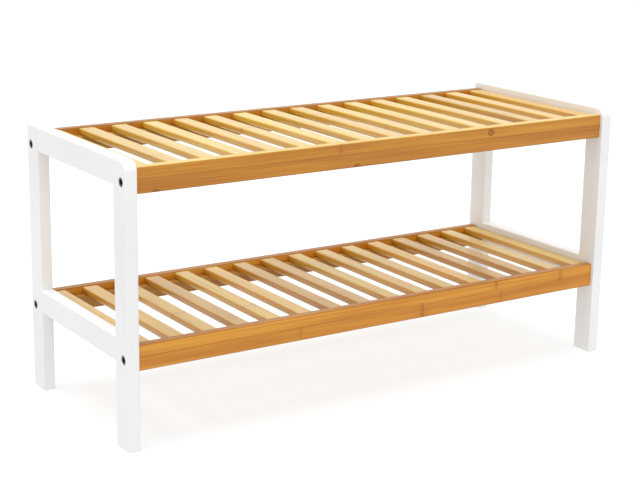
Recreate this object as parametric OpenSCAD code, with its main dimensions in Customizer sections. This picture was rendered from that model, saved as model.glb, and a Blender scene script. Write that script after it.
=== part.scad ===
// Two-tier slatted entryway bench.
// Two painted wooden end frames carry two bamboo slat shelves.
// The origin is on the floor, under the middle of the bench.
// X runs along the bench, Y from front to back, Z up. All sizes are in mm.

/* [Overall] */
// Length of the bench over both end frames
bench_l = 700; // [500:10:1000]
// Depth of the bench, front to back
bench_d = 262; // [220:1:360]
// Height of the end frames
bench_h = 330; // [320:5:480]

/* [End frames] */
// Thickness of the end frame wood
frame_t = 15; // [14:0.5:22]
// Width of each post, seen from the end
post_w = 30; // [28:1:40]
// Height of the top rail of an end frame
top_rail_h = 30; // [28:1:40]
// Height of the lower rail of an end frame
low_rail_h = 29; // [28:1:40]
// Floor to the underside of the lower rail
low_rail_z = 100; // [60:5:140]
// Radius of the front top corner
front_corner_r = 12; // [4:1:14]
// Radius of the rear top corner
rear_corner_r = 5; // [2:1:10]

/* [Shelves] */
// Top edge of the upper shelf rails below the frame top
top_shelf_drop = 8; // [4:1:14]
// Top edge of the lower shelf rails above the floor
low_shelf_z = 122; // [100:1:160]
// Height of a shelf rail
rail_h = 30; // [28:1:40]
// Thickness of a shelf rail
rail_t = 12; // [11:0.5:16]
// Rail face set back from the post face
rail_setback = 4.5; // [1:0.5:8]
// Radius on the long edges of a shelf rail
rail_edge_r = 1.5; // [0.5:0.25:3]
// Side of the square ledger strip under the slat ends
ledger_s = 15; // [12:0.5:18]

/* [Slats] */
// Number of slats in each shelf
slat_n = 16; // [16:1:16]
// Width of a slat
slat_w = 20; // [14:1:30]
// Thickness of a slat
slat_t = 8; // [7:0.5:10]
// Slat top below the top edge of the shelf rails
slat_drop = 1; // [0:0.5:3]
// Gap between an end slat and the end frame
slat_end_gap = 2.5; // [0:0.5:6]
// Radius on the long edges of a slat
slat_edge_r = 2; // [0.5:0.25:3]

/* [Hardware] */
// Thread diameter of the frame bolts
bolt_d = 6; // [5:1:6]
// Head diameter of the frame bolts
bolt_head_d = 10; // [8:0.5:11]
// Head height of the frame bolts
bolt_head_h = 6; // [4:0.5:6]
// Bolt length under the head
bolt_l = 30; // [25:1:40]
// Hexagon socket size across the flats
socket_af = 5; // [4:0.5:5]
// Bolt head below the frame face
bolt_recess = 0.5; // [0.2:0.1:1.5]
// Bolt axis below the middle of the shelf rail
bolt_drop = 1; // [0:0.5:3]
// Outer diameter of the threaded inserts
insert_d = 9; // [8:0.5:9]
// Length of the threaded inserts
insert_l = 15; // [12:1:18]
// Diameter of the frame dowels
dowel_d = 6; // [5:1:8]
// Length of the frame dowels
dowel_l = 24; // [18:2:24]
// Diameter of the slat pins
pin_d = 1.6; // [1.2:0.2:2]
// Length of the slat pins
pin_l = 20; // [19:0.5:21]

/* [Hidden] */
$fn = 64;
inner_l = bench_l - 2 * frame_t;
half_d = bench_d / 2;
post_in = half_d - post_w;                  // inner edge of a post, from the middle
shelf_z = [bench_h - top_shelf_drop, low_shelf_z];
rail_in = half_d - rail_setback - rail_t;   // inner face of a shelf rail, from the middle
rail_mid = half_d - rail_setback - rail_t / 2;
slat_pitch = (inner_l - 2 * slat_end_gap - slat_w) / (slat_n - 1);
ledger_mid = rail_in - ledger_s / 2;
fit = 0.04;                                 // running clearance on a diameter
head_seat = bolt_recess + bolt_head_h;      // depth of the counterbore
post_side = bench_l / 2 - frame_t;          // inner face of an end frame

function slat_x(i) = -inner_l / 2 + slat_end_gap + slat_w / 2 + (i - 1) * slat_pitch;
function slat_top(s) = shelf_z[s] - slat_drop;
function slat_bottom(s) = slat_top(s) - slat_t;
function bolt_z(s) = shelf_z[s] - rail_h / 2 - bolt_drop;
// the two dowels at each end of a frame rail, by height
function dowel_zs(z0, h) = [z0 + h / 2 - 7, z0 + h / 2 + 7];

paint_c = [0.93, 0.93, 0.92];
rail_c = [0.77, 0.51, 0.22];
slat_c = [0.97, 0.87, 0.65];
ledger_c = [0.72, 0.47, 0.22];
bolt_c = [0.14, 0.13, 0.12];
zinc_c = [0.68, 0.69, 0.70];
dowel_c = [0.84, 0.70, 0.48];

// ---- helpers ---------------------------------------------------------

// rectangle with four round corners, centred
module round_rect(w, h, r) {
  square([w - 2 * r, h], center = true);
  square([w, h - 2 * r], center = true);
  for (x = [-1, 1], y = [-1, 1])
    translate([x * (w / 2 - r), y * (h / 2 - r)]) circle(r);
}

// a solid of revolution of diameter d, from x = 0 towards +X
module rod_x(d, l) { rotate([0, 90, 0]) cylinder(d = d, h = l); }
// the same from y = 0 towards +Y
module rod_y(d, l) { rotate([-90, 0, 0]) cylinder(d = d, h = l); }

// outline of a post seen from the end: w wide, one top corner rounded.
// side -1 is the front post and +1 the rear post
module post_outline(side, r) {
  y0 = side < 0 ? -half_d : post_in;
  yc = side * (half_d - r);
  translate([y0, 0]) square([post_w, bench_h - r]);
  translate([side < 0 ? yc : y0, bench_h - r]) square([post_w - r, r]);
  translate([yc, bench_h - r]) circle(r);
}

// Y-Z outline, drawn as X-Y, made into a plate from x = 0 to x = frame_t
module plate() {
  rotate([90, 0, 90]) linear_extrude(height = frame_t) children();
}

// dowel holes into the side of a post or the end of a frame rail;
// y is the joint, from a depth below it to the same depth above
module dowel_bores(y) {
  for (z = concat(dowel_zs(bench_h - top_rail_h, top_rail_h), dowel_zs(low_rail_z, low_rail_h)))
    translate([frame_t / 2, y - dowel_l / 2, z]) rod_y(dowel_d + fit, dowel_l);
}

// ---- end frames, drawn for the left end with the outer face at x = 0 ---

module post(side) {
  color(paint_c)
  difference() {
    plate() post_outline(side, side < 0 ? front_corner_r : rear_corner_r);
    dowel_bores(side * post_in);
    for (s = [0, 1]) translate([0, side * rail_mid, bolt_z(s)]) {
      translate([-1, 0, 0]) rod_x(bolt_d + 0.5, frame_t + 2);
      translate([-1, 0, 0]) rod_x(bolt_head_d + 0.6, head_seat + 1);
    }
  }
}

module frame_rail(z0, h) {
  color(paint_c)
  difference() {
    translate([0, -post_in, z0]) cube([frame_t, 2 * post_in, h]);
    dowel_bores(-post_in);
    dowel_bores(post_in);
  }
}

// places a piece drawn for the left end at the left or the right end
module at_end(end) {
  if (end < 0) translate([-bench_l / 2, 0, 0]) children();
  else mirror([1, 0, 0]) translate([-bench_l / 2, 0, 0]) children();
}

module frame_dowels() {
  color(dowel_c)
  for (side = [-1, 1])
    for (z = concat(dowel_zs(bench_h - top_rail_h, top_rail_h), dowel_zs(low_rail_z, low_rail_h)))
      translate([frame_t / 2, side * post_in - dowel_l / 2, z]) rod_y(dowel_d, dowel_l);
}

// ---- bolts and inserts, drawn for the left end -------------------------

module bolt() {
  difference() {
    union() {
      rod_x(bolt_head_d, bolt_head_h);
      rod_x(bolt_d, bolt_head_h + bolt_l);
    }
    translate([-1, 0, 0]) rotate([0, 90, 0])
      cylinder(d = socket_af / cos(30), h = 4, $fn = 6);
  }
}

module bolts() {
  color(bolt_c)
  for (side = [-1, 1], s = [0, 1])
    translate([bolt_recess, side * rail_mid, bolt_z(s)]) bolt();
}

module insert() {
  difference() {
    rod_x(insert_d, insert_l);
    translate([-1, 0, 0]) rod_x(bolt_d + 0.1, insert_l + 2);
  }
}

module inserts() {
  color(zinc_c)
  for (side = [-1, 1], s = [0, 1])
    translate([frame_t, side * rail_mid, bolt_z(s)]) insert();
}

// ---- shelves -----------------------------------------------------------

// long rail of a shelf; side -1 is the front and +1 the back, s is the shelf
module shelf_rail(side, s) {
  color(rail_c)
  difference() {
    translate([-inner_l / 2, side * rail_mid, shelf_z[s] - rail_h / 2])
      rotate([90, 0, 90]) linear_extrude(height = inner_l)
        round_rect(rail_t, rail_h, rail_edge_r);
    for (e = [-1, 1]) translate([e * inner_l / 2, side * rail_mid, bolt_z(s)])
      rotate([0, e < 0 ? 0 : 180, 0]) {
        translate([-1, 0, 0]) rod_x(insert_d + fit, insert_l + 1);
        translate([-1, 0, 0]) rod_x(bolt_d + 0.5, 27);
      }
  }
}

module ledger(side, s) {
  color(ledger_c)
  difference() {
    translate([-inner_l / 2, side < 0 ? -rail_in : rail_in - ledger_s, slat_bottom(s) - ledger_s])
      cube([inner_l, ledger_s, ledger_s]);
    for (i = [1 : slat_n])
      translate([slat_x(i), side * ledger_mid, slat_bottom(s) - ledger_s - 1])
        cylinder(d = pin_d + fit, h = ledger_s + 2, $fn = 24);
  }
}

module slat(i, s) {
  color(slat_c)
  difference() {
    translate([slat_x(i), rail_in, slat_top(s) - slat_t / 2])
      rotate([90, 0, 0]) linear_extrude(height = 2 * rail_in)
        round_rect(slat_w, slat_t, slat_edge_r);
    for (side = [-1, 1])
      translate([slat_x(i), side * ledger_mid, slat_bottom(s) - 1])
        cylinder(d = pin_d + fit, h = pin_l - ledger_s + 1, $fn = 24);
  }
}

module slat_pins(s) {
  color(zinc_c)
  for (i = [1 : slat_n], side = [-1, 1])
    translate([slat_x(i), side * ledger_mid, slat_bottom(s) - ledger_s])
      cylinder(d = pin_d, h = pin_l, $fn = 24);
}

// ---- the pieces --------------------------------------------------------

at_end(-1) post(-1);  // left_front_post
at_end(-1) post(1);  // left_rear_post
at_end(-1) frame_rail(bench_h - top_rail_h, top_rail_h);  // left_top_rail
at_end(-1) frame_rail(low_rail_z, low_rail_h);  // left_lower_rail
at_end(1) post(-1);  // right_front_post
at_end(1) post(1);  // right_rear_post
at_end(1) frame_rail(bench_h - top_rail_h, top_rail_h);  // right_top_rail
at_end(1) frame_rail(low_rail_z, low_rail_h);  // right_lower_rail

shelf_rail(-1, 0);  // upper_front_rail
shelf_rail(1, 0);  // upper_back_rail
shelf_rail(-1, 1);  // lower_front_rail
shelf_rail(1, 1);  // lower_back_rail
ledger(-1, 0);  // upper_front_ledger
ledger(1, 0);  // upper_back_ledger
ledger(-1, 1);  // lower_front_ledger
ledger(1, 1);  // lower_back_ledger

at_end(-1) bolts();  // left_bolts
at_end(1) bolts();  // right_bolts
at_end(-1) inserts();  // left_inserts
at_end(1) inserts();  // right_inserts
at_end(-1) frame_dowels();  // left_dowels
at_end(1) frame_dowels();  // right_dowels
slat_pins(0);  // upper_slat_pins
slat_pins(1);  // lower_slat_pins

slat(1, 0);  // upper_slat_01
slat(2, 0);  // upper_slat_02
slat(3, 0);  // upper_slat_03
slat(4, 0);  // upper_slat_04
slat(5, 0);  // upper_slat_05
slat(6, 0);  // upper_slat_06
slat(7, 0);  // upper_slat_07
slat(8, 0);  // upper_slat_08
slat(9, 0);  // upper_slat_09
slat(10, 0);  // upper_slat_10
slat(11, 0);  // upper_slat_11
slat(12, 0);  // upper_slat_12
slat(13, 0);  // upper_slat_13
slat(14, 0);  // upper_slat_14
slat(15, 0);  // upper_slat_15
slat(16, 0);  // upper_slat_16
slat(1, 1);  // lower_slat_01
slat(2, 1);  // lower_slat_02
slat(3, 1);  // lower_slat_03
slat(4, 1);  // lower_slat_04
slat(5, 1);  // lower_slat_05
slat(6, 1);  // lower_slat_06
slat(7, 1);  // lower_slat_07
slat(8, 1);  // lower_slat_08
slat(9, 1);  // lower_slat_09
slat(10, 1);  // lower_slat_10
slat(11, 1);  // lower_slat_11
slat(12, 1);  // lower_slat_12
slat(13, 1);  // lower_slat_13
slat(14, 1);  // lower_slat_14
slat(15, 1);  // lower_slat_15
slat(16, 1);  // lower_slat_16
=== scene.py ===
# Looks of the two-tier entryway bench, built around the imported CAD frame.
# Metres. Origin on the floor under the middle, X along the bench, Y from front to back, Z up.
import math
import random

import bmesh
import bpy
from mathutils import Matrix, Vector


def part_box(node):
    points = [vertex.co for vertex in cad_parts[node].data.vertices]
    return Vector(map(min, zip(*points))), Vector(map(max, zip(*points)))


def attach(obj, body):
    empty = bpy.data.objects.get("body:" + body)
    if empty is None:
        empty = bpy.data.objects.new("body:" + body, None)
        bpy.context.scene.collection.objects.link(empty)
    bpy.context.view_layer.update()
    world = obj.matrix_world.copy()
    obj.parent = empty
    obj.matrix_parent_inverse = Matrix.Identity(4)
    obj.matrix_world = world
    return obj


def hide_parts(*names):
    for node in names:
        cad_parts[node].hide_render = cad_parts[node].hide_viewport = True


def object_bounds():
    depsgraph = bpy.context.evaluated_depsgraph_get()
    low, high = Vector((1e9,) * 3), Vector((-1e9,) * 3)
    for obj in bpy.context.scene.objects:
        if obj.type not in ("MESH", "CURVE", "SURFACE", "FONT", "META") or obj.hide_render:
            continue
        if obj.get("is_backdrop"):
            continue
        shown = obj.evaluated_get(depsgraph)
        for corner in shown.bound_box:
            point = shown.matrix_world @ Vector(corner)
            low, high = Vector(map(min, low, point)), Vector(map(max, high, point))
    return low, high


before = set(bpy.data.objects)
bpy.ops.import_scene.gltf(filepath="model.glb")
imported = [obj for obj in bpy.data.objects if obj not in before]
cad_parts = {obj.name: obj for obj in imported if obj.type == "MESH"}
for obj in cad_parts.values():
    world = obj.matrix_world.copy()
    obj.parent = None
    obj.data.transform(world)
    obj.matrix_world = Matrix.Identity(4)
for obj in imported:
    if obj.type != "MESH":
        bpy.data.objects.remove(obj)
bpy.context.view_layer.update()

MM = 0.001
LEFT, RIGHT = -1, 1
scene = bpy.context.scene
rng = random.Random(7)

# ---------------------------------------------------------------- helpers


def obj_from(bm, name):
    me = bpy.data.meshes.new(name)
    bm.to_mesh(me)
    bm.free()
    ob = bpy.data.objects.new(name, me)
    scene.collection.objects.link(ob)
    return ob


def drop(ob):
    me = ob.data
    bpy.data.objects.remove(ob)
    if me.users == 0:
        bpy.data.meshes.remove(me)


def baked(ob):
    """The object's mesh with its modifiers applied."""
    bpy.context.view_layer.update()
    dg = bpy.context.evaluated_depsgraph_get()
    me = bpy.data.meshes.new_from_object(ob.evaluated_get(dg))
    old = ob.data
    ob.modifiers.clear()
    ob.data = me
    if old.users == 0:
        bpy.data.meshes.remove(old)
    return ob


def cut(ob, cutters):
    for c in cutters:
        m = ob.modifiers.new("cut", "BOOLEAN")
        m.operation, m.solver, m.object = "DIFFERENCE", "EXACT", c
        baked(ob)
    for c in cutters:
        drop(c)
    return ob


def lathe(points, axis, at, seg=48):
    """Closed solid of revolution. points are (distance along the axis, radius), first and last on the axis."""
    bm = bmesh.new()
    ax = Vector(axis).normalized()
    u = ax.orthogonal().normalized()
    v = ax.cross(u)
    o = Vector(at)
    rings = []
    for d, r in points:
        if r < 1e-9:
            rings.append([bm.verts.new(o + ax * d)])
        else:
            rings.append([bm.verts.new(o + ax * d + (u * math.cos(2 * math.pi * k / seg) + v * math.sin(2 * math.pi * k / seg)) * r)
                          for k in range(seg)])
    for a, b in zip(rings, rings[1:]):
        for k in range(seg):
            n = (k + 1) % seg
            if len(a) == 1:
                bm.faces.new((a[0], b[k], b[n]))
            elif len(b) == 1:
                bm.faces.new((a[k], a[n], b[0]))
            else:
                bm.faces.new((a[k], a[n], b[n], b[k]))
    bmesh.ops.recalc_face_normals(bm, faces=bm.faces)
    return obj_from(bm, "lathe")


def eased_box(lo, hi, axis, r_long, r_end, seg=4):
    """A bar along axis (0, 1 or 2) with its long edges rounded to r_long and its end edges to r_end."""
    lo, hi = Vector(lo), Vector(hi)
    bm = bmesh.new()
    bmesh.ops.create_cube(bm, size=1.0)
    for v in bm.verts:
        v.co = Vector([lo[i] + (hi[i] - lo[i]) * (v.co[i] + 0.5) for i in range(3)])
    if r_long > 0:
        edges = [e for e in bm.edges if abs((e.verts[0].co - e.verts[1].co)[axis]) > 1e-6]
        bmesh.ops.bevel(bm, geom=edges, offset=r_long, segments=seg, profile=0.5, affect="EDGES", clamp_overlap=True)
    if r_end > 0:
        ends = [e for e in bm.edges if all(abs(v.co[axis] - lo[axis]) < 1e-7 for v in e.verts)
                or all(abs(v.co[axis] - hi[axis]) < 1e-7 for v in e.verts)]
        bmesh.ops.bevel(bm, geom=ends, offset=r_end, segments=3, profile=0.5, affect="EDGES", clamp_overlap=True)
    bmesh.ops.recalc_face_normals(bm, faces=bm.faces)
    return obj_from(bm, "bar")


def shade(ob, angle=50):
    """Smooth shading with large flat faces kept flat."""
    me = ob.data
    bm = bmesh.new()
    bm.from_mesh(me)
    bmesh.ops.remove_doubles(bm, verts=bm.verts, dist=2e-7)
    for f in bm.faces:
        f.smooth = True
    for e in bm.edges:
        e.smooth = not (len(e.link_faces) == 2 and e.calc_face_angle(0) > math.radians(angle))
    bm.to_mesh(me)
    bm.free()
    w = ob.modifiers.new("normals", "WEIGHTED_NORMAL")
    w.keep_sharp, w.weight, w.mode = True, 100, "FACE_AREA"
    return ob


def mirrored(ob, name):
    """A copy mirrored left to right."""
    bm = bmesh.new()
    bm.from_mesh(ob.data)
    bmesh.ops.transform(bm, matrix=Matrix.Scale(-1, 4, (1, 0, 0)), verts=bm.verts)
    bmesh.ops.reverse_faces(bm, faces=bm.faces)
    return obj_from(bm, name)


def copied(ob, name, shift=(0, 0, 0), flip_y=False):
    bm = bmesh.new()
    bm.from_mesh(ob.data)
    if flip_y:
        bmesh.ops.transform(bm, matrix=Matrix.Scale(-1, 4, (0, 1, 0)), verts=bm.verts)
        bmesh.ops.reverse_faces(bm, faces=bm.faces)
    bmesh.ops.translate(bm, vec=Vector(shift), verts=bm.verts)
    return obj_from(bm, name)


def place(ob, node, mat):
    """Finishes a piece: it stands for its CAD node and rides with the bench."""
    ob.name = node + "_v"
    ob.data.name = ob.name
    ob.data.materials.clear()
    ob.data.materials.append(mat)
    shade(ob)
    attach(ob, "root")
    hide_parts(node)
    return ob


# ---------------------------------------------------------------- shader parts


class Tree:
    def __init__(self, name):
        self.mat = bpy.data.materials.new(name)
        self.mat.use_nodes = True
        self.t = self.mat.node_tree
        self.t.nodes.clear()
        self.out = self.t.nodes.new("ShaderNodeOutputMaterial")
        self.bsdf = self.t.nodes.new("ShaderNodeBsdfPrincipled")
        self.link(self.bsdf.outputs[0], self.out.inputs[0])
        tc = self.t.nodes.new("ShaderNodeTexCoord")
        self.pos = tc.outputs["Object"]
        sep = self.t.nodes.new("ShaderNodeSeparateXYZ")
        self.link(self.pos, sep.inputs[0])
        self.xyz = [sep.outputs[i] for i in range(3)]

    def link(self, a, b):
        self.t.links.new(a, b)

    def put(self, sock, v):
        if isinstance(v, bpy.types.NodeSocket):
            self.link(v, sock)
        else:
            sock.default_value = v

    def math(self, op, a, b=None, c=None, clamp=False):
        n = self.t.nodes.new("ShaderNodeMath")
        n.operation, n.use_clamp = op, clamp
        for i, v in enumerate((a, b, c)):
            if v is not None:
                self.put(n.inputs[i], v)
        return n.outputs[0]

    def ramp01(self, v, a, b, c, d):
        """v from a to b mapped smoothly to c to d."""
        n = self.t.nodes.new("ShaderNodeMapRange")
        n.interpolation_type = "SMOOTHSTEP"
        self.put(n.inputs["Value"], v)
        for k, x in (("From Min", a), ("From Max", b), ("To Min", c), ("To Max", d)):
            n.inputs[k].default_value = x
        return n.outputs["Result"]

    def coords(self, scale, shift):
        n = self.t.nodes.new("ShaderNodeMapping")
        self.link(self.pos, n.inputs["Vector"])
        n.inputs["Scale"].default_value = scale
        n.inputs["Location"].default_value = shift
        return n.outputs[0]

    def noise(self, vec, detail=3.0, rough=0.55, distortion=0.0):
        n = self.t.nodes.new("ShaderNodeTexNoise")
        self.link(vec, n.inputs["Vector"])
        n.inputs["Scale"].default_value = 1.0
        n.inputs["Detail"].default_value = detail
        n.inputs["Roughness"].default_value = rough
        n.inputs["Distortion"].default_value = distortion
        return n.outputs["Fac"]

    def mix(self, fac, a, b, mode="MIX"):
        n = self.t.nodes.new("ShaderNodeMix")
        n.data_type, n.blend_type = "RGBA", mode
        self.put(n.inputs[0], fac)
        self.put(n.inputs[6], a)
        self.put(n.inputs[7], b)
        return n.outputs[2]

    def bump(self, height, distance, strength=1.0, normal=None):
        n = self.t.nodes.new("ShaderNodeBump")
        n.inputs["Strength"].default_value = strength
        n.inputs["Distance"].default_value = distance
        self.link(height, n.inputs["Height"])
        if normal is not None:
            self.link(normal, n.inputs["Normal"])
        return n.outputs[0]


def rgba(c):
    return (c[0], c[1], c[2], 1.0)


def scaled(c, k):
    return tuple(min(1.0, x * k) for x in c)


def scaled_up(c, k):
    return tuple(x * k for x in c)


def bamboo(name, axis, light, dark, seed, knots=(), seams=(), tone_and_shade_bands=(), cross=2, rough=0.40, spec=0.35, streak=1.0, knot_dark=(0.20, 0.075, 0.014),
           coat=0.0):
    """Laminated bamboo. axis is the grain's direction. knots: (position along the grain, lowest and highest cross
    position, strength, half width, optional "ring" for a round one). seams: glue lines at a cross position. tones:
    (lowest, highest cross position, factor, warmth or tint), bands of the wood's own tone and also bands of painted
    light and painted shade."""
    T = Tree(name)
    r = random.Random(seed)
    off = (r.uniform(-40, 40), r.uniform(-40, 40), r.uniform(-40, 40))

    def along(a, c):
        s = [c, c, c]
        s[axis] = a
        return tuple(s)

    broad = T.noise(T.coords(along(5.0, 150.0), off), 2.0, 0.5)
    mid = T.noise(T.coords(along(9.0, 420.0), off[::-1]), 3.0, 0.6)
    fine = T.noise(T.coords(along(22.0, 1500.0), (off[1], off[2], off[0])), 2.0, 0.6)
    patch = T.noise(T.coords(along(7.0, 30.0), (off[2], off[0], off[1])), 2.0, 0.5)
    g = T.math("ADD", T.math("MULTIPLY", broad, 0.50), T.math("ADD", T.math("MULTIPLY", mid, 0.28), T.math("MULTIPLY", fine, 0.22)))
    k = T.ramp01(g, 0.5 - 0.20 / streak, 0.5 + 0.20 / streak, 0.0, 1.0)
    col = T.mix(k, rgba(dark), rgba(light))
    # slow cloudy change along the piece
    col = T.mix(T.ramp01(patch, 0.30, 0.72, 0.0, 0.55), col, T.mix(1.0, col, rgba((0.90, 0.80, 0.62)), "MULTIPLY"))
    # thin dark fibre lines
    lines = T.noise(T.coords(along(6.0, 900.0), (off[0] + 9, off[1], off[2])), 1.0, 0.4)
    fibre = T.ramp01(lines, 0.60, 0.70, 0.0, 0.34 * streak)
    col = T.mix(fibre, col, T.mix(1.0, col, rgba((0.62, 0.46, 0.30)), "MULTIPLY"))
    v = T.xyz[cross]
    u = T.xyz[axis]
    # each band multiplies the colour: some are the wood's own tone, some are painted light or painted shade laid on a
    # face
    for lo, hi, f, warm in tone_and_shade_bands:
        band = T.math("MULTIPLY", T.ramp01(v, lo - 0.0003, lo + 0.0003, 0.0, 1.0), T.ramp01(v, hi - 0.0003, hi + 0.0003, 1.0, 0.0))
        tint = warm if isinstance(warm, tuple) else (1, 1 - 0.25 * warm, 1 - 0.6 * warm)
        col = T.mix(band, col, T.mix(1.0, col, rgba(scaled_up(tint, f)), "MULTIPLY"))
    wob = T.noise(T.coords((30.0, 30.0, 30.0), off), 1.0, 0.5)
    for s in seams:
        d = T.math("ABSOLUTE", T.math("SUBTRACT", v, T.math("ADD", s, T.math("MULTIPLY", T.math("SUBTRACT", wob, 0.5), 0.0012))))
        line = T.ramp01(d, 0.0002, 0.0013, 0.42, 0.0)
        col = T.mix(line, col, T.mix(1.0, col, rgba((0.66, 0.52, 0.36)), "MULTIPLY"))
    height = g
    # short pores, only used to break up the knots
    pores = T.noise(T.coords(along(420.0, 1100.0), (off[1] + 3, off[0], off[2])), 2.0, 0.6)
    drift = T.noise(T.coords(along(40.0, 330.0), (off[2] + 5, off[0], off[1])), 2.0, 0.6)
    jag = T.math("MULTIPLY", T.math("SUBTRACT", drift, 0.5), 0.007)
    for u0, lo, hi, strength, half, *kind in knots:
        if kind:
            a = T.math("DIVIDE", T.math("ADD", T.math("SUBTRACT", u, u0), T.math("MULTIPLY", jag, 0.15)), half)
            b = T.math("DIVIDE", T.math("SUBTRACT", v, (lo + hi) / 2), (hi - lo) / 2)
            d = T.math("SQRT", T.math("ADD", T.math("MULTIPLY", a, a), T.math("MULTIPLY", b, b)))
            ring = T.ramp01(T.math("ABSOLUTE", T.math("SUBTRACT", d, 0.62)), 0.10, 0.62, 1.0, 0.0)
            mark = T.math("MULTIPLY", T.math("MAXIMUM", ring, T.ramp01(d, 0.05, 1.0, 0.55, 0.0)), T.ramp01(pores, 0.36, 0.58, 0.45, 1.0))
            col = T.mix(T.math("MULTIPLY", mark, 0.85 * strength), col, rgba(knot_dark))
            height = T.math("ADD", height, T.math("MULTIPLY", mark, 0.6 * strength))
            continue
        d = T.math("ABSOLUTE", T.math("ADD", T.math("SUBTRACT", u, u0), jag))
        edge = T.math("MULTIPLY", T.ramp01(v, lo - 0.0004, lo + 0.0004, 0.0, 1.0), T.ramp01(v, hi - 0.0004, hi + 0.0004, 1.0, 0.0))
        core = T.math("MULTIPLY", T.ramp01(d, half * 0.25, half, 1.0, 0.0), edge)
        halo = T.math("MULTIPLY", T.ramp01(d, half, half * 4.5, 1.0, 0.0), edge)
        speck = T.ramp01(pores, 0.40, 0.58, 0.10, 1.0)
        col = T.mix(T.math("MULTIPLY", halo, 0.30 * strength), col, T.mix(1.0, col, rgba((0.84, 0.70, 0.52)), "MULTIPLY"))
        col = T.mix(T.math("MULTIPLY", T.math("MULTIPLY", core, speck), 0.85 * strength), col, rgba(knot_dark))
        height = T.math("ADD", height, T.math("MULTIPLY", core, 0.8 * strength))
    T.link(col, T.bsdf.inputs["Base Color"])
    T.link(T.ramp01(g, 0.3, 0.7, rough + 0.07, rough - 0.05), T.bsdf.inputs["Roughness"])
    T.bsdf.inputs["Specular IOR Level"].default_value = spec
    T.bsdf.inputs["Coat Weight"].default_value = coat          # clear varnish
    T.bsdf.inputs["Coat Roughness"].default_value = 0.14
    T.link(T.bump(height, 0.00006, 0.6), T.bsdf.inputs["Normal"])
    return T.mat


def paint(name, axis, seed):
    """Satin white paint over wood: faint brush lines along the piece, a little orange peel."""
    T = Tree(name)
    r = random.Random(seed)
    off = (r.uniform(-20, 20), r.uniform(-20, 20), r.uniform(-20, 20))
    s = [700.0] * 3
    s[axis] = 14.0
    brush = T.noise(T.coords(tuple(s), off), 3.0, 0.55)
    peel = T.noise(T.coords((420.0, 420.0, 420.0), off), 2.0, 0.5)
    cloud = T.noise(T.coords((9.0, 9.0, 9.0), off), 2.0, 0.5)
    a, b = (0.835, 0.835, 0.838), (0.868, 0.868, 0.868)
    f = T.math("ADD", T.math("MULTIPLY", cloud, 0.75), T.math("MULTIPLY", brush, 0.25))
    T.link(T.mix(T.ramp01(f, 0.35, 0.65, 0.0, 1.0), rgba(a), rgba(b)), T.bsdf.inputs["Base Color"])
    T.link(T.ramp01(peel, 0.3, 0.7, 0.36, 0.46), T.bsdf.inputs["Roughness"])
    T.bsdf.inputs["Specular IOR Level"].default_value = 0.45
    h = T.math("ADD", T.math("MULTIPLY", brush, 0.6), T.math("MULTIPLY", peel, 0.4))
    T.link(T.bump(h, 0.00004, 0.5), T.bsdf.inputs["Normal"])
    return T.mat


def metal(name, base, base2, rough, metallic, seed, scale=900.0):
    T = Tree(name)
    r = random.Random(seed)
    off = (r.uniform(-20, 20), r.uniform(-20, 20), r.uniform(-20, 20))
    n = T.noise(T.coords((scale, scale, scale), off), 3.0, 0.6)
    w = T.noise(T.coords((160.0, 160.0, 160.0), off), 2.0, 0.5)
    T.link(T.mix(T.ramp01(w, 0.35, 0.65, 0.0, 1.0), rgba(base), rgba(base2)), T.bsdf.inputs["Base Color"])
    T.link(T.ramp01(n, 0.3, 0.7, rough - 0.06, rough + 0.10), T.bsdf.inputs["Roughness"])
    T.bsdf.inputs["Metallic"].default_value = metallic
    T.link(T.bump(n, 0.00002, 0.4), T.bsdf.inputs["Normal"])
    return T.mat


# ---------------------------------------------------------------- sizes from the frame

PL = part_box("left_front_post")
X0, X1 = PL[0].x, PL[1].x                  # outer and inner face of the left end frame
HD = -PL[0].y                              # half the depth
H = PL[1].z
JY = -PL[1].y                              # the joint plane between posts and frame rails
TR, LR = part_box("left_top_rail"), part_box("left_lower_rail")
UR = {("upper", "front"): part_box("upper_front_rail"), ("upper", "back"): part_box("upper_back_rail"),
      ("lower", "front"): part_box("lower_front_rail"), ("lower", "back"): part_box("lower_back_rail")}
RY = -(UR["upper", "front"][0].y + UR["upper", "front"][1].y) / 2
ZB = [(UR[s, "front"][0].z + UR[s, "front"][1].z) / 2 - 1 * MM for s in ("upper", "lower")]   # bolt heights
FRONT_R, REAR_R, EASE = 12 * MM, 5 * MM, 1.6 * MM

# ---------------------------------------------------------------- end frames


def arc(cy, cz, r, a0, a1, n):
    return [(cy + r * math.cos(math.radians(a0 + (a1 - a0) * k / n)), cz + r * math.sin(math.radians(a0 + (a1 - a0) * k / n)))
            for k in range(n + 1)]


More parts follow.
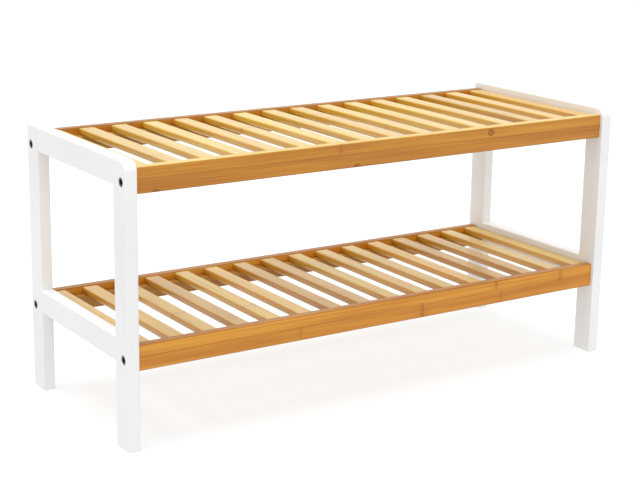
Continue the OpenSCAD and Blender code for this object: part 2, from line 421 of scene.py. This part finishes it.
def end_frame():
    """One seamless eased end frame for the left end: outline with rounded top corners and the window between the rails."""
    outer = [(-HD, 0.0), (-JY, 0.0), (-JY, LR[0].z), (JY, LR[0].z), (JY, 0.0), (HD, 0.0)]
    outer += arc(HD - REAR_R, H - REAR_R, REAR_R, 0, 90, 8)
    outer += arc(-HD + FRONT_R, H - FRONT_R, FRONT_R, 90, 180, 12)
    window = [(-JY, LR[1].z), (-JY, TR[0].z), (JY, TR[0].z), (JY, LR[1].z)]
    bm = bmesh.new()
    loops = []
    for pts in (outer, window):
        vs = [bm.verts.new((X0, y, z)) for y, z in pts]
        loops.append([bm.edges.new((vs[i], vs[(i + 1) % len(vs)])) for i in range(len(vs))])
    bmesh.ops.triangle_fill(bm, edges=loops[0] + loops[1], use_beauty=True, use_dissolve=False)
    top = bmesh.ops.extrude_face_region(bm, geom=bm.faces[:])
    bmesh.ops.translate(bm, vec=(X1 - X0, 0, 0), verts=[g for g in top["geom"] if isinstance(g, bmesh.types.BMVert)])
    bmesh.ops.recalc_face_normals(bm, faces=bm.faces)
    bmesh.ops.dissolve_limit(bm, angle_limit=math.radians(0.2), verts=bm.verts, edges=bm.edges)
    rim = [e for e in bm.edges if len(e.link_faces) == 2 and abs(e.verts[0].co.x - e.verts[1].co.x) < 1e-7
           and e.calc_face_angle(0) > math.radians(60)]
    bmesh.ops.bevel(bm, geom=rim, offset=EASE, segments=4, profile=0.5, affect="EDGES", clamp_overlap=True)
    bmesh.ops.recalc_face_normals(bm, faces=bm.faces)
    return obj_from(bm, "end_frame")


def slab(lo, hi):
    return eased_box(lo, hi, 0, 0, 0)


def kept(ob, lo, hi):
    """The part of a copy of ob inside the box lo to hi, closed."""
    c = copied(ob, "kept")
    box = slab(lo, hi)
    m = c.modifiers.new("keep", "BOOLEAN")
    m.operation, m.solver, m.object = "INTERSECT", "EXACT", box
    baked(c)
    drop(box)
    return c


def bolt_cutters(side):
    out = []
    for z in ZB:
        y = side * RY
        o = X0
        # counterbore with an eased mouth, then the clearance hole
        out.append(lathe([(-1 * MM, 0), (-1 * MM, 6.3 * MM), (0, 5.6 * MM), (0.3 * MM, 5.3 * MM), (6.5 * MM, 5.3 * MM), (6.5 * MM, 0)],
                         (1, 0, 0), (o, y, z)))
        out.append(lathe([(5 * MM, 0), (5 * MM, 3.25 * MM), (17 * MM, 3.25 * MM), (17 * MM, 0)], (1, 0, 0), (o, y, z)))
    return out


def dowel_cutters(side, rails=(TR, LR)):
    out = []
    for z0, h in [(b[0].z, b[1].z - b[0].z) for b in rails]:
        for dz in (-7 * MM, 7 * MM):
            out.append(lathe([(0, 0), (0, 3.02 * MM), (24 * MM, 3.02 * MM), (24 * MM, 0)], (0, 1, 0),
                             ((X0 + X1) / 2, side * JY - 12 * MM, z0 + h / 2 + dz), 32))
    return out


whole = end_frame()
BIG = 0.01
parts = {
    "front_post": kept(whole, (X0 - BIG, -HD - BIG, -BIG), (X1 + BIG, -JY, H + BIG)),
    "rear_post": kept(whole, (X0 - BIG, JY, -BIG), (X1 + BIG, HD + BIG, H + BIG)),
    "top_rail": kept(whole, (X0 - BIG, -JY, TR[0].z - 0.02), (X1 + BIG, JY, H + BIG)),
    "lower_rail": kept(whole, (X0 - BIG, -JY, LR[0].z - 0.02), (X1 + BIG, JY, LR[1].z + 0.02)),
}
drop(whole)
cut(parts["front_post"], bolt_cutters(-1) + dowel_cutters(-1))
cut(parts["rear_post"], bolt_cutters(1) + dowel_cutters(1))
cut(parts["top_rail"], dowel_cutters(-1, (TR,)) + dowel_cutters(1, (TR,)))
cut(parts["lower_rail"], dowel_cutters(-1, (LR,)) + dowel_cutters(1, (LR,)))
for i, (p, ob) in enumerate(parts.items()):
    axis = 2 if "post" in p else 1
    other = mirrored(ob, "r")
    place(ob, "left_" + p, paint(f"paint_left_{p}", axis, 20 + i))
    place(other, "right_" + p, paint(f"paint_right_{p}", axis, 40 + i))

# ---------------------------------------------------------------- shelf rails

RAIL_L, RAIL_D = (0.63, 0.277, 0.024), (0.46, 0.166, 0.008)
lo, hi = UR["upper", "front"]
rail = eased_box(lo, hi, 0, 1.5 * MM, 0.8 * MM, 4)
bores = []
for e in (LEFT, RIGHT):
    x = lo.x if e < 0 else hi.x
    d = -e
    bores.append(lathe([(-1 * MM, 0), (-1 * MM, 4.52 * MM), (15 * MM, 4.52 * MM), (15 * MM, 0)], (d, 0, 0), (x, -RY, ZB[0])))
    bores.append(lathe([(14 * MM, 0), (14 * MM, 3.25 * MM), (25 * MM, 3.25 * MM), (26 * MM, 0)], (d, 0, 0), (x, -RY, ZB[0])))
cut(rail, bores)

KN = {   # position along the rail, lowest and highest height, strength, half width
    ("upper", "front"): [(0.1531, 0.3108, 0.3198, 1.0, 0.0052, "ring"), (-0.0702, 0.3105, 0.3215, 0.60, 0.0030), (-0.0469, 0.2890, 0.2965, 1.0, 0.0050, "ring"),
                         (-0.3107, 0.2895, 0.2955, 1.0, 0.0055, "ring")],
    ("lower", "front"): [(0.0560, 0.0925, 0.1110, 0.75, 0.0042), (0.1728, 0.1105, 0.1215, 0.70, 0.0042), (0.1804, 0.0925, 0.1105, 0.40, 0.0022),
                         (0.2807, 0.1080, 0.1215, 0.50, 0.0055), (-0.1225, 0.0925, 0.1100, 0.30, 0.0025)],
    ("upper", "back"): [(-0.2210, 0.3105, 0.3215, 0.8, 0.0030), (0.0310, 0.2925, 0.3100, 0.6, 0.0030), (0.2440, 0.3105, 0.3215, 0.7, 0.0032)],
    ("lower", "back"): [(-0.1420, 0.0925, 0.1100, 0.7, 0.0030), (0.1090, 0.1100, 0.1215, 0.8, 0.0030), (0.2950, 0.0925, 0.1100, 0.5, 0.0028)],
}
for i, (s, side) in enumerate(KN):
    z0, z1 = UR[s, side][0].z, UR[s, side][1].z
    ob = copied(rail, "rail", (0, 0, z0 - lo.z), flip_y=side == "back")
    seam = z1 - 13.5 * MM
    # painted highlight and painted shade on the rails' top faces: the seat's front rail gets a pale cream band like the
    # slat tops, standing in for light glancing off that face; the other rails get their top faces darkened as painted
    # shade
    if (s, side) == ("upper", "front"):
        top = (z1 - 0.0008, z1 + 0.001, 1.2, (1.0, 1.62, 6.5))
    else:
        top = (z1 - 0.0010, z1 + 0.001, 0.58 if side == "back" else 0.68, 0.3)
    k = 1.0 if s == "upper" else 1.16
    # the 1.3 mm band along the bottom edge at 0.80 is painted shade along the rail's lower edge; the bands above and
    # below the seam are the strips' own tone; top is the painted top-face band
    mat = bamboo(f"bamboo_{s}_{side}_rail", 0, scaled(RAIL_L, k), scaled(RAIL_D, k), 100 + i, KN[s, side], [seam],
                 [(seam, z1 + 0.001, 1.06, -0.15), (z0 - 0.001, seam, 0.97, 0.12), (z0 - 0.001, z0 + 0.0013, 0.80, 0.0), top],
                 spec=0.20, rough=0.44, coat=0.35, knot_dark=(0.19, 0.045, 0.003))
    place(ob, f"{s}_{side}_rail", mat)
drop(rail)

# ---------------------------------------------------------------- ledgers and slats

SLATS = [[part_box(f"{s}_slat_{n:02d}") for n in range(1, 17)] for s in ("upper", "lower")]
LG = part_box("upper_front_ledger")
PIN_Y = -(LG[0].y + LG[1].y) / 2
ledger = eased_box(LG[0], LG[1], 0, 0.7 * MM, 0.5 * MM, 3)
for b in SLATS[0]:
    cx = (b[0].x + b[1].x) / 2
    cut(ledger, [lathe([(-1 * MM, 0), (-1 * MM, 0.82 * MM), (16 * MM, 0.82 * MM), (16 * MM, 0)], (0, 0, 1), (cx, -PIN_Y, LG[0].z), 16)])
for i, (s, side) in enumerate(KN):
    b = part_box(f"{s}_{side}_ledger")
    ob = copied(ledger, "ledger", (0, 0, b[0].z - LG[0].z), flip_y=side == "back")
    mat = bamboo(f"bamboo_{s}_{side}_ledger", 0, (0.47, 0.235, 0.045), (0.33, 0.145, 0.022), 200 + i,
                 [(rng.uniform(-0.3, 0.3), b[0].z, b[1].z, 0.6, 0.0025)], spec=0.25, rough=0.46)
    place(ob, f"{s}_{side}_ledger", mat)
drop(ledger)

b0 = SLATS[0][0]
slat = eased_box(b0[0], b0[1], 1, 2.0 * MM, 0.4 * MM, 5)
cx = (b0[0].x + b0[1].x) / 2
cut(slat, [lathe([(-1 * MM, 0), (-1 * MM, 0.82 * MM), (5 * MM, 0.82 * MM), (5.4 * MM, 0)], (0, 0, 1), (cx, y, b0[0].z), 16)
           for y in (-PIN_Y, PIN_Y)])

# knots seen on slats: (shelf, slat) -> [(position across the bench, strength, half width)]
SEEN = {(0, 1): [(-0.021, 0.9, 0.0016)], (0, 2): [(-0.074, 0.5, 0.0018)], (0, 4): [(-0.043, 0.5, 0.0018)], (0, 6): [(0.020, 0.9, 0.0028)],
        (0, 10): [(-0.043, 0.5, 0.0020)], (0, 9): [(0.060, 0.4, 0.002)],
        (1, 3): [(-0.040, 0.7, 0.0030)], (1, 5): [(-0.055, 0.7, 0.0026)], (1, 12): [(-0.037, 0.5, 0.0024)]}
SL, SD = (0.755, 0.527, 0.094), (0.635, 0.399, 0.046)
DEEP = {(0, 14), (1, 4), (1, 7), (1, 8), (1, 13), (1, 14)}      # a few slats are cut from deeper coloured stock
for t, s in enumerate(("upper", "lower")):
    for n in range(1, 17):
        b = SLATS[t][n - 1]
        ob = copied(slat, "slat", (b[0].x - b0[0].x, 0, b[0].z - b0[0].z))
        k = rng.uniform(0.92, 1.05)
        warm = rng.uniform(-0.05, 0.07)
        if (t, n) in DEEP:
            k, warm = 0.82, 0.09
        if s == "lower":
            warm += 0.05
        light = (SL[0] * k, SL[1] * k * (1 - warm), SL[2] * k * (1 - 2.2 * warm))
        dark = (SD[0] * k, SD[1] * k * (1 - warm), SD[2] * k * (1 - 2.2 * warm))
        knots = [(y, b[0].x, b[1].x, st, w) for y, st, w in SEEN.get((t, n), [])]
        if not knots and rng.random() < 0.35:
            knots = [(rng.uniform(-0.1, 0.1), b[0].x, b[1].x, rng.uniform(0.15, 0.35), 0.0018)]
        side_shade = (0.97, 0.55) if s == "upper" else (0.87, 0.90)       # painted shade: the slats' sawn faces are darkened and deepened to orange against the top, more on the lower shelf under the seat
        shaded_sides = [(b[0].x - 0.001, b[0].x + 0.0009, *side_shade), (b[1].x - 0.0009, b[1].x + 0.001, *side_shade)]
        mat = bamboo(f"bamboo_{s}_slat_{n:02d}", 1, light, dark, 300 + 20 * t + n, knots, (), shaded_sides, cross=0, spec=0.5, rough=0.36,
                     streak=0.9, knot_dark=(0.30, 0.13, 0.03), coat=0.6)
        place(ob, f"{s}_slat_{n:02d}", mat)
drop(slat)

# ---------------------------------------------------------------- bolts


def bolt(y, z):
    """Socket head bolt: chamfered head with a hexagon socket, plain shank with a chamfered tip."""
    x = X0 + 0.5 * MM
    body = lathe([(0, 0), (0, 4.35 * MM), (0.15 * MM, 4.68 * MM), (0.45 * MM, 4.92 * MM), (0.8 * MM, 5.0 * MM), (5.8 * MM, 5.0 * MM),
                  (6.0 * MM, 4.8 * MM), (6.0 * MM, 3.2 * MM), (6.3 * MM, 3.0 * MM), (35.2 * MM, 3.0 * MM), (36.0 * MM, 2.4 * MM), (36.0 * MM, 0)],
                 (1, 0, 0), (x, y, z), 48)
    hexa = lathe([(-1 * MM, 0), (-1 * MM, 3.35 * MM), (0, 2.9868 * MM), (0.1 * MM, 2.8868 * MM), (3.0 * MM, 2.8868 * MM), (4.1 * MM, 0)],
                 (1, 0, 0), (x, y, z), 6)
    return cut(body, [hexa])


def joined(obs, name):
    bm = bmesh.new()
    for o in obs:
        bm.from_mesh(o.data)
    for o in obs:
        drop(o)
    return obj_from(bm, name)


four = joined([bolt(s * RY, z) for s in (-1, 1) for z in ZB], "bolts")
other = mirrored(four, "bolts_r")
place(four, "left_bolts", metal("black_bolts_left", (0.030, 0.028, 0.025), (0.060, 0.054, 0.045), 0.38, 0.75, 1))
place(other, "right_bolts", metal("black_bolts_right", (0.030, 0.028, 0.025), (0.060, 0.054, 0.045), 0.38, 0.75, 2))

# ---------------------------------------------------------------- sealed inner pieces keep their CAD shape


def dress(node, mat):
    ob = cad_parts[node]
    ob.data.materials.clear()
    ob.data.materials.append(mat)
    ob.data.shade_smooth()


zinc = metal("zinc", (0.52, 0.53, 0.55), (0.62, 0.62, 0.60), 0.34, 1.0, 3)
for n in ("left_inserts", "right_inserts", "upper_slat_pins", "lower_slat_pins"):
    dress(n, zinc)
beech = bamboo("beech", 1, (0.62, 0.42, 0.22), (0.50, 0.31, 0.15), 900, rough=0.6, spec=0.3, streak=0.7)
for n in ("left_dowels", "right_dowels"):
    dress(n, beech)

# ---------------------------------------------------------------- floor, light, camera

bm = bmesh.new()
bmesh.ops.create_grid(bm, x_segments=1, y_segments=1, size=15.0)
floor = obj_from(bm, "floor")
floor.location = (0, 0, -0.0002)
T = Tree("floor")
n = T.noise(T.coords((1.5, 1.5, 1.5), (3, 1, 2)), 2.0, 0.5)
T.link(T.mix(n, rgba((0.31, 0.31, 0.31)), rgba((0.33, 0.33, 0.33))), T.bsdf.inputs["Base Color"])
T.bsdf.inputs["Roughness"].default_value = 0.9
T.bsdf.inputs["Specular IOR Level"].default_value = 0.0
T.bsdf.inputs["Emission Color"].default_value = (1, 1, 1, 1)
T.bsdf.inputs["Emission Strength"].default_value = 0.70       # a light table, so shadows stay faint
floor.data.materials.append(T.mat)
floor.visible_diffuse = False       # seen and reflected, but it throws no light back up
floor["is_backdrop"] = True

world = bpy.data.worlds.new("studio")
scene.world = world
world.use_nodes = True
wt = world.node_tree
bg = wt.nodes["Background"]
bg.inputs["Color"].default_value = (1, 1, 1, 1)
# white to look at and to reflect, dimmer as fill light
lp = wt.nodes.new("ShaderNodeLightPath")
fill = wt.nodes.new("ShaderNodeMapRange")
fill.inputs["To Min"].default_value, fill.inputs["To Max"].default_value = 1.0, 0.80
wt.links.new(lp.outputs["Is Diffuse Ray"], fill.inputs["Value"])
wt.links.new(fill.outputs["Result"], bg.inputs["Strength"])

# a soft key from above and a little behind, and a weak front fill
for name, energy, angle, way in (("key", 2.1, 48, (0.12, -0.10, -1.0)), ("front_fill", 0.72, 60, (0.35, 0.93, -0.12))):
    sun = bpy.data.lights.new(name, "SUN")
    sun.energy, sun.angle = energy, math.radians(angle)
    sun_ob = bpy.data.objects.new(name, sun)
    scene.collection.objects.link(sun_ob)
    sun_ob.rotation_mode = "QUATERNION"
    sun_ob.rotation_quaternion = Vector(way).to_track_quat("-Z", "Y")

cam_d = bpy.data.cameras.new("camera")
cam = bpy.data.objects.new("camera", cam_d)
scene.collection.objects.link(cam)
R = ((0.843606, -0.5368274, 0.0120546), (-0.1200108, -0.2103796, -0.9702257), (0.5233797, 0.8170415, -0.2419026))
m = Matrix(((R[0][0], -R[1][0], -R[2][0], -1.0545027), (R[0][1], -R[1][1], -R[2][1], -1.5659080),
            (R[0][2], -R[1][2], -R[2][2], 0.6636185), (0, 0, 0, 1)))
cam.matrix_world = m
cam_d.sensor_width = 36.0
cam_d.lens = 1535.61594 / 640 * 36
cam_d.shift_x = (320 - 294.9211) / 640
cam_d.shift_y = (221.51926 - 251.5) / 640
cam_d.clip_start, cam_d.clip_end = 0.05, 60
scene.camera = cam
scene.view_settings.view_transform = "Standard"
scene.view_settings.look = "None"

bpy.context.view_layer.update()
lo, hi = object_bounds()
